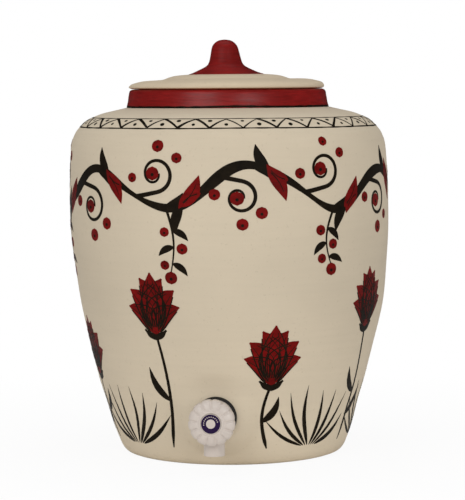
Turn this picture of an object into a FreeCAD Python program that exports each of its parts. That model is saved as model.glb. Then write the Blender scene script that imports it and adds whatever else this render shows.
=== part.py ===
"""Clay water pot with a loose clay lid and a white screw-down tap low on its front.

Millimetres, +Z up. The origin is the middle of the flat face that the pot stands on, the
pot is round about Z, and the tap points along -Y.
"""
import FreeCAD, Part
import math
import os

V = FreeCAD.Vector

# Pot: a thrown clay body with a flat foot, a full belly, a rounded shoulder and a short neck
FOOT_RADIUS = 93.5          # flat ring that touches the table
FOOT_CORNER = 14.0          # rounding between the foot and the wall
FOOT_FLARE = 18.5           # degrees that the wall leans out just above the foot
WAIST_INSET = 16.2          # how far in from the belly the wall is at the waist
WAIST_HEIGHT = 100.0
BELLY_RADIUS = 149.4
BELLY_HEIGHT = 233.0
BODY_HEIGHT = 321.4         # top of the shoulder, where the neck starts
SHOULDER_SLOPE = 12.0       # degrees that the shoulder still rises where it meets the neck
# Points of the shoulder's curve: how far in from the belly, and how far below the body's top
SHOULDER_CURVE = [(2.1, 35.5), (8.0, 20.5), (16.1, 12.7), (32.4, 5.2)]
NECK_FOOT_RADIUS = 95.0
NECK_LEAN = 3.0             # how much narrower the neck is at its rim
NECK_HEIGHT = 17.0
RIM_ROUND_OUT = 3.0
RIM_ROUND_IN = 2.0
WALL = 9.0
NECK_WALL = 9.0
FLOOR_THICKNESS = 12.0
FLOOR_CORNER = 10.0

# Lid: one piece of clay, with a brim that rests on the rim and a ring that drops into the neck
BRIM_INSET = 1.3            # how far the brim's edge lies inside the neck's outside at the rim
BRIM_EDGE = 2.4             # thickness at the very edge
BRIM_RISE = 10.6            # top of the brim above the rim, beside the step
BRIM_ROLL_WIDTH = 4.4       # rounded outer edge of the brim
BRIM_ROLL_RISE = 6.6
BRIM_SLOPE_WIDTH = 20.0     # outer part of the brim, which falls a little to the edge
BRIM_SLOPE_DROP = 2.0
STEP_RADIUS = 56.0
STEP_WIDTH = 9.0
STEP_RISE = 2.8
CONE_RADIUS = 34.4          # where the red cone starts
CONE_EDGE_RISE = 0.4
CONE_MIDDLE_RISE = 3.9      # halfway up the hollow sweep from the cone's edge to the grip
CROWN_SIDE_RADIUS = 9.4     # on the grip's rounded top
CROWN_SIDE_RISE = 4.4
LID_PLATE = 8.5             # clay thickness under the step
LID_RING_WALL = 8.0
LID_RING_DEPTH = 10.0
LID_RING_GAP = 2.5          # play between the ring and the neck
GRIP_FOOT_RADIUS = 15.8
GRIP_TOP_RADIUS = 12.4
GRIP_FOOT_RISE = 9.2        # foot of the grip above the step
GRIP_SIDE_HEIGHT = 15.2
GRIP_CROWN = 8.5
LID_HOLLOW_RADIUS = 22.0
LID_HOLLOW_DEPTH = 9.0

# Tap seat in the wall: the clay is thickened so that the sloping wall has level flats
TAP_HEIGHT = 47.5
PAD_RISE = 6.4              # the outer flat stands this far off the wall at the tap's height
PAD_THICKNESS = 15.0
PAD_RADIUS = 22.0
PAD_SPREAD = 6.0            # the pad is this much wider where it runs into the wall
SEAT_RADIUS = 19.5          # inner flat, for the nut and its washer
TAP_HOLE_GAP = 0.8
SECTION_MARGIN = 4.5        # wall above the pad that still belongs to the clay's lowest ring

# Tap body, washers and nut. All tap sizes run along the tap's own axis, from the pot outwards
SHANK_RADIUS = 10.0
SHANK_TAIL = 7.0            # thread that shows past the nut
SHANK_PITCH = 2.5
SHANK_THREAD_DEPTH = 0.9
WATERWAY_RADIUS = 5.5
GASKET_RADIUS = 17.5
GASKET_THICKNESS = 2.5
INNER_GASKET_RADIUS = 15.5
GASKET_BORE_GAP = 0.3
NUT_FLATS = 30.0
NUT_THICKNESS = 7.0
NUT_CORNER = 0.75           # turned off the corners of the nut and the bonnet
FLANGE_RADIUS = 16.0
FLANGE_THICKNESS = 2.5
CHAMBER_RADIUS = 12.5
CHAMBER_BORE = 8.0
CHAMBER_LENGTH = 19.0
CHAMBER_FLOOR = 2.5         # plastic between the flange's face and the chamber
SEAT_RING_HEIGHT = 1.0
SEAT_RING_WIDTH = 1.6
SPOUT_RADIUS = 9.4
SPOUT_BORE = 6.5
SPOUT_SETBACK = 0.1         # from the flange's face to the spout
SPOUT_END_HEIGHT = 16.0     # the outlet above the table
SCREW_FIT = 0.15            # play between two screwed pieces that stay together
RIDGE_ROOT_SHARE = 0.55     # width of a thread's ridge at its root, as a share of its pitch
RIDGE_CREST_SHARE = 0.3
RIDGE_SINK = 0.4            # how deep a ridge is rooted in its core

# Valve: a rubber washer on a jumper, pushed by a screwed spindle
WASHER_RADIUS = 7.2
WASHER_THICKNESS = 3.0
JUMPER_DISC = 2.0
JUMPER_PEG_RADIUS = 2.5
JUMPER_PEG_LENGTH = 6.0
JUMPER_NUB_RADIUS = 1.5
JUMPER_BARB_RADIUS = 2.1
JUMPER_BARB_LENGTH = 1.6
SPINDLE_LEAD = 4.0          # how far the valve opens in one turn
VALVE_TRAVEL = 3.0          # from shut to the spindle's stop in the bonnet
SPINDLE_RADIUS = 5.2
SPINDLE_THREAD_DEPTH = 1.3
SPINDLE_THREAD_LENGTH = 5.6
SPINDLE_NECK_RADIUS = 4.0
SQUARE_WIDTH = 5.5
RUNNING_GAP = 0.05
THREAD_GAP = 0.3            # play of the screw that turns in use
STEP_GAP = 0.3              # between faces that don't touch

# Bonnet: the plug that closes the chamber and carries the spindle
BONNET_SPIGOT = 5.0
BONNET_PITCH = 2.0
BONNET_THREAD_DEPTH = 0.8
BONNET_FLATS = 22.0
BONNET_FLANGE = 2.7
BONNET_NECK_RADIUS = 9.0
BONNET_SHELF_BELOW_RING = 0.9
BONNET_LIP = 1.0            # plastic in front of the spindle's ring
SEAL_THICKNESS = 0.8
SEAL_RADIUS = 11.0
SEAL_BORE = 9.2
RING_SECTION = 1.8

# Knob with its screw, index cap and label
KNOB_RADIUS = 20.3
KNOB_REAR_RADIUS = 19.3
KNOB_REAR_GAP = 1.0         # from the chamber's front to the knob's rear edge
KNOB_WIDEST = 7.5           # from the knob's rear edge
KNOB_SHOULDER_RADIUS = 17.5
KNOB_SHOULDER = 2.6         # how far the shoulder lies behind the face
KNOB_FACE_RADIUS = 10.6
KNOB_CAVITY_RADIUS = 16.2
KNOB_CAVITY_CORNER = 3.0
KNOB_WEB = 3.5
KNOB_RECESS = 3.0
PETALS = 13
PETAL_GROOVE_RADIUS = 1.6
PETAL_GROOVE_DEPTH = 0.9
CAP_RADIUS = 8.9
CAP_GAP = 0.1
CAP_THICKNESS = 1.2
CAP_SKIRT = 1.2
LABEL_EDGE = 0.4            # cap that shows round the label
LABEL_BORE = 4.05
LABEL_THICKNESS = 0.3
SCREW_HEAD_RADIUS = 4.4
SCREW_HEAD = 1.6
SCREW_RADIUS = 1.3
SCREW_LENGTH = 8.0
SCREW_CROSS_WIDTH = 0.9
SCREW_CROSS_LENGTH = 4.4
SCREW_CROSS_DEPTH = 1.0

WAIST_RADIUS = BELLY_RADIUS - WAIST_INSET
DISH_TOP = FLOOR_THICKNESS + FLOOR_CORNER * (1 - math.sin(math.radians(FOOT_FLARE)))
LOW_WALL_TOP = TAP_HEIGHT + PAD_RADIUS + PAD_SPREAD + SECTION_MARGIN
SHOULDER_START = BODY_HEIGHT - SHOULDER_CURVE[0][1]
RIM_HEIGHT = BODY_HEIGHT + NECK_HEIGHT
RIM_RADIUS = NECK_FOOT_RADIUS - NECK_LEAN
NECK_INNER_RADIUS = RIM_RADIUS - NECK_WALL
BRIM_RADIUS = RIM_RADIUS - BRIM_INSET
LID_RING_RADIUS = NECK_INNER_RADIUS - LID_RING_GAP


def point(radius, height):
    """A point of a profile that is turned about the axis."""
    return V(radius, 0, height)


def line(a, b):
    return Part.LineSegment(a, b).toShape()


def polyline(points):
    return [line(a, b) for a, b in zip(points, points[1:])]


def curve(points, start_direction=None, end_direction=None):
    """A smooth curve through the points, with given directions at its ends if stated."""
    c = Part.BSplineCurve()
    if start_direction is None:
        c.interpolate(points)
    else:
        c.interpolate(Points=points, InitialTangent=start_direction, FinalTangent=end_direction)
    return c


def arc(start, middle, end):
    return Part.Arc(start, middle, end).toShape()


def rim_rounding(side, flat):
    """A quarter circle from the upright side of a rim, given by its top, to the level flat."""
    turn = (1 - math.sqrt(0.5))
    middle = point(side.x + (flat.x - side.x) * turn, flat.z - (flat.z - side.z) * turn)
    return arc(side, middle, flat)


def turned(edges):
    """The solid that a closed profile makes when it is turned about Z."""
    face = Part.Face(Part.Wire(Part.__sortEdges__(edges)))
    return face.revolve(V(0, 0, 0), V(0, 0, 1), 360)


def turned_outline(points):
    """The same, for a profile of straight lines given by its corners."""
    return turned(polyline(points + [points[0]]))


def ring(outer, inner, low, high):
    return turned_outline([point(inner, low), point(outer, low), point(outer, high), point(inner, high)])


def rod(radius, low, high):
    return Part.makeCylinder(radius, high - low, V(0, 0, low))


def on_tap_axis(shape):
    """Carries a tap piece, built along +Z from the pot's axis, to its place on the pot's front."""
    placed = shape.copy()
    placed.rotate(V(0, 0, 0), V(1, 0, 0), 90)
    placed.translate(V(0, 0, TAP_HEIGHT))
    return placed


def thread(root, crest, pitch, low, high, gap=0.0):
    """A right-hand screw ridge about Z, its middle from low to high. A gap makes it its mate's tool."""
    path = Part.makeHelix(pitch, high - low, root)
    path.translate(V(0, 0, low))
    root_half = pitch * RIDGE_ROOT_SHARE / 2 + gap
    crest_half = pitch * RIDGE_CREST_SHARE / 2 + gap
    inner = root - RIDGE_SINK
    outer = crest + gap
    corners = [point(inner, low - root_half), point(outer, low - crest_half),
               point(outer, low + crest_half), point(inner, low + root_half)]
    profile = Part.makePolygon(corners + [corners[0]])
    return Part.Wire(path.Edges).makePipeShell([profile], True, True)


def hexagon(across_flats, low, high):
    """A six-sided prism with its corners slightly turned off at the outer end."""
    corner = across_flats / math.sqrt(3)
    steps = [math.radians(60 * k) for k in range(7)]
    base = Part.makePolygon([V(corner * math.cos(t), corner * math.sin(t), low) for t in steps])
    prism = Part.Face(base).extrude(V(0, 0, high - low))
    limit = turned_outline([point(0, low), point(corner, low), point(corner, high - NUT_CORNER),
                            point(corner - NUT_CORNER, high), point(0, high)])
    return prism.common(limit)


def foot_direction():
    flare = math.radians(FOOT_FLARE)
    return V(math.sin(flare), 0, math.cos(flare))


def shoulder_direction():
    slope = math.radians(SHOULDER_SLOPE)
    return V(-math.cos(slope), 0, math.sin(slope))


def corner_arc(end, centre_radius, floor, corner):
    """The rounding between a level floor and a wall that leans out by the foot's flare."""
    half = math.radians((90 - FOOT_FLARE) / 2)
    centre = point(centre_radius, floor + corner)
    middle = centre + V(corner * math.sin(half), 0, -corner * math.cos(half))
    return arc(point(centre_radius, floor), middle, end)


def wall_start():
    """Where the outer wall leaves the foot's rounding."""
    flare = math.radians(FOOT_FLARE)
    return point(FOOT_RADIUS + FOOT_CORNER * math.cos(flare), FOOT_CORNER * (1 - math.sin(flare)))


def outer_wall_points():
    shoulder = [point(BELLY_RADIUS - inset, BODY_HEIGHT - drop) for inset, drop in SHOULDER_CURVE]
    return ([wall_start(), point(WAIST_RADIUS, WAIST_HEIGHT), point(BELLY_RADIUS, BELLY_HEIGHT)]
            + shoulder + [point(NECK_FOOT_RADIUS, BODY_HEIGHT)])


def outer_wall():
    return curve(outer_wall_points(), foot_direction(), shoulder_direction())


def wall_radius(height):
    """The outer wall's radius at a height, found by halving the stretch of curve that holds it."""
    wall = outer_wall()
    low, high = wall.FirstParameter, wall.LastParameter
    while high - low > 1e-9:
        middle = (low + high) / 2
        if wall.value(middle).z < height:
            low = middle
        else:
            high = middle
    return wall.value(low).x


# Places along the tap's axis, from the pot's axis outwards
PAD_FACE = wall_radius(TAP_HEIGHT) + PAD_RISE
SEAT_FACE = PAD_FACE - PAD_THICKNESS
NUT_FRONT = SEAT_FACE - GASKET_THICKNESS
NUT_BACK = NUT_FRONT - NUT_THICKNESS
SHANK_END = NUT_BACK - SHANK_TAIL
FLANGE_BACK = PAD_FACE + GASKET_THICKNESS
FLANGE_FRONT = FLANGE_BACK + FLANGE_THICKNESS
CHAMBER_BACK = FLANGE_FRONT + CHAMBER_FLOOR
CHAMBER_FRONT = FLANGE_FRONT + CHAMBER_LENGTH
SPOUT_CENTRE = FLANGE_FRONT + SPOUT_SETBACK + SPOUT_RADIUS
VALVE_SEAT = CHAMBER_BACK + SEAT_RING_HEIGHT
JUMPER_BACK = VALVE_SEAT + WASHER_THICKNESS
JUMPER_FRONT = JUMPER_BACK + JUMPER_DISC
JUMPER_PEG_END = JUMPER_FRONT + JUMPER_PEG_LENGTH
SPINDLE_BACK = JUMPER_FRONT + 2 * RUNNING_GAP
BONNET_BACK = CHAMBER_FRONT - BONNET_SPIGOT
BONNET_FLANGE_BACK = CHAMBER_FRONT + SEAL_THICKNESS
BONNET_FLANGE_FRONT = BONNET_FLANGE_BACK + BONNET_FLANGE
SPINDLE_THREAD_START = BONNET_BACK + STEP_GAP
SPINDLE_SHOULDER = SPINDLE_THREAD_START + SPINDLE_THREAD_LENGTH
BONNET_SHELF = SPINDLE_SHOULDER + VALVE_TRAVEL + STEP_GAP
RING_BACK = BONNET_SHELF + BONNET_SHELF_BELOW_RING
RING_FRONT = RING_BACK + RING_SECTION
BONNET_FRONT = RING_FRONT + BONNET_LIP
KNOB_REAR = CHAMBER_FRONT + KNOB_REAR_GAP
KNOB_CEILING = BONNET_FRONT + STEP_GAP
RECESS_FLOOR = KNOB_CEILING + KNOB_WEB
SQUARE_END = RECESS_FLOOR - STEP_GAP
KNOB_FACE = RECESS_FLOOR + KNOB_RECESS
SCREW_TOP = RECESS_FLOOR + SCREW_HEAD
CAP_BACK = SCREW_TOP + STEP_GAP
CAP_FRONT = CAP_BACK + CAP_THICKNESS


def inner_wall():
    """The outer wall's curve moved in by the wall thickness, from the floor's rounding to the neck."""
    outside = outer_wall()
    moved = []
    for p in outer_wall_points()[1:-1]:
        along = outside.tangent(outside.parameter(p))[0]
        moved.append(p + V(-along.z, 0, along.x) * WALL)
    flare = math.radians(FOOT_FLARE)
    beside_start = wall_start() + V(-math.cos(flare), 0, math.sin(flare)) * WALL
    start = point(beside_start.x + (DISH_TOP - beside_start.z) * math.tan(flare), DISH_TOP)
    slope = math.radians(SHOULDER_SLOPE)
    end = point(NECK_INNER_RADIUS, BODY_HEIGHT - WALL / math.cos(slope)
                + (NECK_FOOT_RADIUS - NECK_INNER_RADIUS) * math.tan(slope))
    return curve([start] + moved + [end], foot_direction(), shoulder_direction())


def pot_outside():
    wall = outer_wall()
    closing = polyline([wall.EndPoint, point(0, BODY_HEIGHT), point(0, 0), point(FOOT_RADIUS, 0)])
    return turned([corner_arc(wall.StartPoint, FOOT_RADIUS, 0, FOOT_CORNER), wall.toShape()] + closing)


def pot_hollow():
    """The space inside the pot, up past the shoulder."""
    wall = inner_wall()
    floor_edge = wall.StartPoint.x - FLOOR_CORNER * math.cos(math.radians(FOOT_FLARE))
    closing = polyline([wall.EndPoint, point(NECK_INNER_RADIUS, RIM_HEIGHT), point(0, RIM_HEIGHT),
                        point(0, FLOOR_THICKNESS), point(floor_edge, FLOOR_THICKNESS)])
    return turned([corner_arc(wall.StartPoint, floor_edge, FLOOR_THICKNESS, FLOOR_CORNER), wall.toShape()]
                  + closing)


def pot_clay():
    """All the clay below the neck, with the flats and the hole for the tap."""
    pad_root = SEAT_FACE + 2 * STEP_GAP
    pad = Part.makeCone(PAD_RADIUS + PAD_SPREAD, PAD_RADIUS, PAD_FACE - pad_root, V(0, 0, pad_root))
    boss = rod(SEAT_RADIUS, SEAT_FACE, SEAT_FACE + WALL)
    outer_cut = rod(PAD_RADIUS, PAD_FACE, BELLY_RADIUS + PAD_THICKNESS)
    inner_cut = rod(SEAT_RADIUS, SEAT_FACE - PAD_THICKNESS, SEAT_FACE)
    hole = rod(SHANK_RADIUS + TAP_HOLE_GAP, SEAT_FACE - PAD_THICKNESS, BELLY_RADIUS)
    outside = pot_outside().fuse(on_tap_axis(pad)).cut(on_tap_axis(outer_cut))
    clay = outside.cut(pot_hollow()).fuse(on_tap_axis(boss))
    return clay.cut([on_tap_axis(inner_cut), on_tap_axis(hole)])


# The pot is one piece of clay. It is divided level into simple rings, which lie face to face
CLAY = pot_clay()


def clay_ring(low, high):
    return CLAY.common(rod(BELLY_RADIUS + PAD_THICKNESS, low, high))


def pot_base():
    return clay_ring(0, DISH_TOP)


def pot_wall_low():
    return clay_ring(DISH_TOP, LOW_WALL_TOP)


def pot_body():
    return clay_ring(LOW_WALL_TOP, SHOULDER_START)


def pot_shoulder():
    return clay_ring(SHOULDER_START, BODY_HEIGHT)


def pot_neck():
    outer = point(RIM_RADIUS, RIM_HEIGHT - RIM_ROUND_OUT)
    outer_flat = point(RIM_RADIUS - RIM_ROUND_OUT, RIM_HEIGHT)
    inner = point(NECK_INNER_RADIUS, RIM_HEIGHT - RIM_ROUND_IN)
    inner_flat = point(NECK_INNER_RADIUS + RIM_ROUND_IN, RIM_HEIGHT)
    sides = polyline([inner, point(NECK_INNER_RADIUS, BODY_HEIGHT), point(NECK_FOOT_RADIUS, BODY_HEIGHT),
                      outer])
    return turned([rim_rounding(outer, outer_flat), line(outer_flat, inner_flat),
                   rim_rounding(inner, inner_flat)] + sides)


def lid_top():
    """The lid's upper outline, from the brim's edge over the step and the cone to the grip's top."""
    brim_top = RIM_HEIGHT + BRIM_RISE
    step_top = brim_top + STEP_RISE
    grip_foot = point(GRIP_FOOT_RADIUS, step_top + GRIP_FOOT_RISE)
    grip_side = point(GRIP_TOP_RADIUS, grip_foot.z + GRIP_SIDE_HEIGHT)
    edge = point(BRIM_RADIUS - BRIM_EDGE / 2, RIM_HEIGHT + BRIM_EDGE)
    roll = point(BRIM_RADIUS - BRIM_ROLL_WIDTH, RIM_HEIGHT + BRIM_ROLL_RISE)
    slope = point(BRIM_RADIUS - BRIM_SLOPE_WIDTH, brim_top - BRIM_SLOPE_DROP)
    step_foot = point(STEP_RADIUS, brim_top)
    step_head = point(STEP_RADIUS - STEP_WIDTH, step_top)
    step_middle = (step_foot + step_head) / 2
    cone_edge = point(CONE_RADIUS, step_top + CONE_EDGE_RISE)
    cone_middle = point((CONE_RADIUS + GRIP_FOOT_RADIUS) / 2, step_top + CONE_MIDDLE_RISE)
    crown_side = point(CROWN_SIDE_RADIUS, grip_side.z + CROWN_SIDE_RISE)
    top = point(0, grip_side.z + GRIP_CROWN)
    level, upright = V(-1, 0, 0), V(0, 0, 1)
    cone_start = (cone_middle - cone_edge).normalize()
    return [curve([edge, roll, slope, step_foot]).toShape(),
            curve([step_foot, step_middle, step_head], level, level).toShape(),
            line(step_head, cone_edge),
            curve([cone_edge, cone_middle, grip_foot], cone_start, upright).toShape(),
            line(grip_foot, grip_side),
            curve([grip_side, crown_side, top], upright, level).toShape()]


def lid():
    brim_low = point(BRIM_RADIUS - BRIM_EDGE / 2, RIM_HEIGHT)
    brim_high = point(BRIM_RADIUS - BRIM_EDGE / 2, RIM_HEIGHT + BRIM_EDGE)
    brim_side = point(BRIM_RADIUS, RIM_HEIGHT + BRIM_EDGE / 2)
    underside = RIM_HEIGHT + BRIM_RISE - LID_PLATE
    ring_inner = LID_RING_RADIUS - LID_RING_WALL
    ring_low = RIM_HEIGHT - LID_RING_DEPTH
    top = RIM_HEIGHT + BRIM_RISE + STEP_RISE + GRIP_FOOT_RISE + GRIP_SIDE_HEIGHT + GRIP_CROWN
    below = polyline([brim_low, point(LID_RING_RADIUS, RIM_HEIGHT), point(LID_RING_RADIUS, ring_low),
                      point(ring_inner, ring_low), point(ring_inner, underside),
                      point(LID_HOLLOW_RADIUS, underside), point(0, underside + LID_HOLLOW_DEPTH),
                      point(0, top)])
    return turned([arc(brim_low, brim_side, brim_high)] + lid_top() + below)


def shank_thread(gap=0.0):
    half_ridge = SHANK_PITCH * RIDGE_ROOT_SHARE / 2
    return thread(SHANK_RADIUS - SHANK_THREAD_DEPTH, SHANK_RADIUS, SHANK_PITCH,
                  SHANK_END + half_ridge + STEP_GAP, PAD_FACE - half_ridge, gap)


def bonnet_thread(beyond=0.0, gap=0.0):
    """The ridge on the bonnet's spigot. The tool for the chamber runs on beyond the chamber's mouth."""
    root = CHAMBER_BORE - RUNNING_GAP
    half_ridge = BONNET_PITCH * RIDGE_ROOT_SHARE / 2
    return thread(root, root + BONNET_THREAD_DEPTH, BONNET_PITCH, BONNET_BACK + half_ridge + STEP_GAP,
                  CHAMBER_FRONT - half_ridge - STEP_GAP + beyond, gap)


def spindle_thread(before=0.0, beyond=0.0, gap=0.0):
    """The spindle's coarse ridge. The tool for the bonnet starts whole turns before it and runs on."""
    half_ridge = SPINDLE_LEAD * RIDGE_ROOT_SHARE / 2
    return thread(SPINDLE_RADIUS, SPINDLE_RADIUS + SPINDLE_THREAD_DEPTH, SPINDLE_LEAD,
                  SPINDLE_THREAD_START + half_ridge - before, SPINDLE_SHOULDER - half_ridge + beyond, gap)


def spout(radius, extra=0.0):
    """A rod from the tap's axis straight down past the outlet by extra."""
    length = TAP_HEIGHT - SPOUT_END_HEIGHT + extra
    return Part.makeCylinder(radius, length, V(0, 0, SPOUT_CENTRE), V(0, -1, 0))


def tap_body():
    shank = rod(SHANK_RADIUS - SHANK_THREAD_DEPTH, SHANK_END, PAD_FACE)
    collar = rod(SHANK_RADIUS, PAD_FACE, FLANGE_BACK)
    flange = rod(FLANGE_RADIUS, FLANGE_BACK, FLANGE_FRONT)
    chamber = rod(CHAMBER_RADIUS, FLANGE_FRONT, CHAMBER_FRONT)
    waterway = rod(WATERWAY_RADIUS, SHANK_END, CHAMBER_BACK)
    chamber_bore = rod(CHAMBER_BORE, CHAMBER_BACK, CHAMBER_FRONT + BONNET_PITCH)
    chamber_bore = chamber_bore.fuse(bonnet_thread(2 * BONNET_PITCH, SCREW_FIT))
    seat_ring = ring(WATERWAY_RADIUS + SEAT_RING_WIDTH, WATERWAY_RADIUS, CHAMBER_BACK, VALVE_SEAT)
    shell = shank.fuse([shank_thread(), collar, flange, chamber, spout(SPOUT_RADIUS)])
    shell = shell.cut(spout(SPOUT_BORE, SPOUT_BORE)).cut(waterway).cut(chamber_bore)
    return on_tap_axis(shell.fuse(seat_ring).removeSplitter())


def lock_nut():
    bore = rod(SHANK_RADIUS - SHANK_THREAD_DEPTH + SCREW_FIT, SHANK_END, PAD_FACE)
    screw = bore.fuse(shank_thread(SCREW_FIT))
    return on_tap_axis(hexagon(NUT_FLATS, NUT_BACK, NUT_FRONT).cut(screw))


def outer_gasket():
    return on_tap_axis(ring(GASKET_RADIUS, SHANK_RADIUS + GASKET_BORE_GAP, PAD_FACE, FLANGE_BACK))


def inner_gasket():
    return on_tap_axis(ring(INNER_GASKET_RADIUS, SHANK_RADIUS + GASKET_BORE_GAP, NUT_FRONT, SEAT_FACE))


def valve_washer():
    return on_tap_axis(ring(WASHER_RADIUS, JUMPER_NUB_RADIUS, VALVE_SEAT, JUMPER_BACK))


def valve_jumper():
    tip = VALVE_SEAT - JUMPER_BARB_LENGTH
    corners = [point(0, tip), point(JUMPER_NUB_RADIUS, tip), point(JUMPER_BARB_RADIUS, VALVE_SEAT),
               point(JUMPER_NUB_RADIUS, VALVE_SEAT), point(JUMPER_NUB_RADIUS, JUMPER_BACK),
               point(WASHER_RADIUS, JUMPER_BACK), point(WASHER_RADIUS, JUMPER_FRONT),
               point(JUMPER_PEG_RADIUS, JUMPER_FRONT), point(JUMPER_PEG_RADIUS, JUMPER_PEG_END),
               point(0, JUMPER_PEG_END)]
    return on_tap_axis(turned_outline(corners))


def square_bar(width, low, high):
    return Part.makeBox(width, width, high - low, V(-width / 2, -width / 2, low))


def spindle():
    core = rod(SPINDLE_RADIUS, SPINDLE_BACK, SPINDLE_SHOULDER)
    neck = rod(SPINDLE_NECK_RADIUS, SPINDLE_SHOULDER, KNOB_CEILING)
    square = square_bar(SQUARE_WIDTH, KNOB_CEILING, SQUARE_END)
    socket = rod(JUMPER_PEG_RADIUS + RUNNING_GAP, SPINDLE_BACK, JUMPER_PEG_END + STEP_GAP)
    pilot = rod(SCREW_RADIUS + RUNNING_GAP, RECESS_FLOOR - SCREW_LENGTH - STEP_GAP, SQUARE_END)
    solid = core.fuse([neck, square, spindle_thread()])
    return on_tap_axis(solid.cut([socket, pilot]).removeSplitter())


def spindle_ring():
    inner = SPINDLE_NECK_RADIUS + RUNNING_GAP
    half = RING_SECTION / 2
    torus = Part.makeTorus(inner + half, half, V(0, 0, RING_BACK + half))
    return on_tap_axis(torus)


def bonnet():
    spigot = rod(CHAMBER_BORE - RUNNING_GAP, BONNET_BACK, BONNET_FLANGE_BACK)
    flange = hexagon(BONNET_FLATS, BONNET_FLANGE_BACK, BONNET_FLANGE_FRONT)
    neck = rod(BONNET_NECK_RADIUS, BONNET_FLANGE_BACK, BONNET_FRONT)
    bore = rod(SPINDLE_RADIUS + THREAD_GAP, JUMPER_FRONT, BONNET_SHELF)
    screw = bore.fuse(spindle_thread(2 * SPINDLE_LEAD, VALVE_TRAVEL + STEP_GAP, THREAD_GAP))
    neck_bore = rod(SPINDLE_NECK_RADIUS + 2 * RUNNING_GAP, BONNET_BACK, BONNET_FRONT)
    ring_seat = SPINDLE_NECK_RADIUS + 2 * RUNNING_GAP + RING_SECTION
    ring_groove = rod(ring_seat, RING_BACK, RING_FRONT)
    solid = spigot.fuse([flange, neck]).removeSplitter().fuse(bonnet_thread())
    return on_tap_axis(solid.cut([neck_bore, ring_groove]).cut(screw))


def bonnet_seal():
    return on_tap_axis(ring(SEAL_RADIUS, SEAL_BORE, CHAMBER_FRONT, BONNET_FLANGE_BACK))


def petal_groove():
    """The rounded groove between two petals, from the face over the shoulder and down the knob's side."""
    lift = PETAL_GROOVE_RADIUS - PETAL_GROOVE_DEPTH
    face_edge = point(KNOB_FACE_RADIUS, KNOB_FACE)
    shoulder = point(KNOB_SHOULDER_RADIUS, KNOB_FACE - KNOB_SHOULDER)
    widest = point(KNOB_RADIUS, KNOB_REAR + KNOB_WIDEST)
    rear = point(KNOB_REAR_RADIUS, KNOB_REAR)
    slope = (shoulder - face_edge).normalize()
    off_face = V(-slope.z, 0, slope.x) * lift
    off_side = V(lift, 0, 0)
    off_shoulder = (off_face + off_side).normalize() * lift
    route = [face_edge + off_face, shoulder + off_shoulder, widest + off_side,
             rear + off_side - V(0, 0, KNOB_REAR_GAP)]
    pieces = [Part.makeSphere(PETAL_GROOVE_RADIUS, p) for p in route[:3]]
    for a, b in zip(route, route[1:]):
        pieces.append(Part.makeCylinder(PETAL_GROOVE_RADIUS, (b - a).Length, a, b - a))
    return pieces[0].fuse(pieces[1:])


def knob():
    rear_inner = point(KNOB_CAVITY_RADIUS, KNOB_REAR)
    rear_outer = point(KNOB_REAR_RADIUS, KNOB_REAR)
    face_outer = point(KNOB_FACE_RADIUS, KNOB_FACE)
    recess = CAP_RADIUS + CAP_GAP
    side = curve([rear_outer, point(KNOB_RADIUS, KNOB_REAR + KNOB_WIDEST),
                  point(KNOB_SHOULDER_RADIUS, KNOB_FACE - KNOB_SHOULDER), face_outer])
    corner = KNOB_CAVITY_CORNER
    corner_turn = corner * (1 - math.sqrt(0.5))
    cavity_arc = arc(point(KNOB_CAVITY_RADIUS - corner, KNOB_CEILING),
                     point(KNOB_CAVITY_RADIUS - corner_turn, KNOB_CEILING - corner_turn),
                     point(KNOB_CAVITY_RADIUS, KNOB_CEILING - corner))
    front = polyline([face_outer, point(recess, KNOB_FACE), point(recess, RECESS_FLOOR),
                      point(0, RECESS_FLOOR), point(0, KNOB_CEILING),
                      point(KNOB_CAVITY_RADIUS - corner, KNOB_CEILING)])
    shell = turned([line(rear_inner, rear_outer), side.toShape(), cavity_arc,
                    line(point(KNOB_CAVITY_RADIUS, KNOB_CEILING - corner), rear_inner)] + front)
    groove = petal_groove()
    cutters = [square_bar(SQUARE_WIDTH + 2 * RUNNING_GAP, KNOB_CEILING, RECESS_FLOOR)]
    for k in range(PETALS):
        cutter = groove.copy()
        cutter.rotate(V(0, 0, 0), V(0, 0, 1), 90 + 360 * (k + 0.5) / PETALS)
        cutters.append(cutter)
    return on_tap_axis(shell.cut(cutters))


def knob_screw():
    head = rod(SCREW_HEAD_RADIUS, RECESS_FLOOR, SCREW_TOP)
    shank = rod(SCREW_RADIUS, RECESS_FLOOR - SCREW_LENGTH, RECESS_FLOOR)
    low = SCREW_TOP - SCREW_CROSS_DEPTH
    half_width, half_length = SCREW_CROSS_WIDTH / 2, SCREW_CROSS_LENGTH / 2
    corner = V(-half_length, -half_width, low)
    slot = Part.makeBox(SCREW_CROSS_LENGTH, SCREW_CROSS_WIDTH, SCREW_CROSS_DEPTH, corner)
    cross_slot = slot.copy()
    cross_slot.rotate(V(0, 0, 0), V(0, 0, 1), 90)
    return on_tap_axis(head.fuse(shank).removeSplitter().cut([slot, cross_slot]))


def index_cap():
    label_seat = CAP_FRONT - LABEL_THICKNESS
    label_outer = CAP_RADIUS - LABEL_EDGE
    corners = [point(0, CAP_BACK), point(CAP_RADIUS - CAP_SKIRT, CAP_BACK),
               point(CAP_RADIUS - CAP_SKIRT, RECESS_FLOOR), point(CAP_RADIUS, RECESS_FLOOR),
               point(CAP_RADIUS, CAP_FRONT), point(label_outer, CAP_FRONT), point(label_outer, label_seat),
               point(LABEL_BORE, label_seat), point(LABEL_BORE, CAP_FRONT), point(0, CAP_FRONT)]
    return on_tap_axis(turned_outline(corners))


def index_label():
    """The coloured ring set into the cap, bare of any lettering."""
    outer = CAP_RADIUS - LABEL_EDGE - RUNNING_GAP
    return on_tap_axis(ring(outer, LABEL_BORE + RUNNING_GAP, CAP_FRONT - LABEL_THICKNESS, CAP_FRONT))


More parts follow.
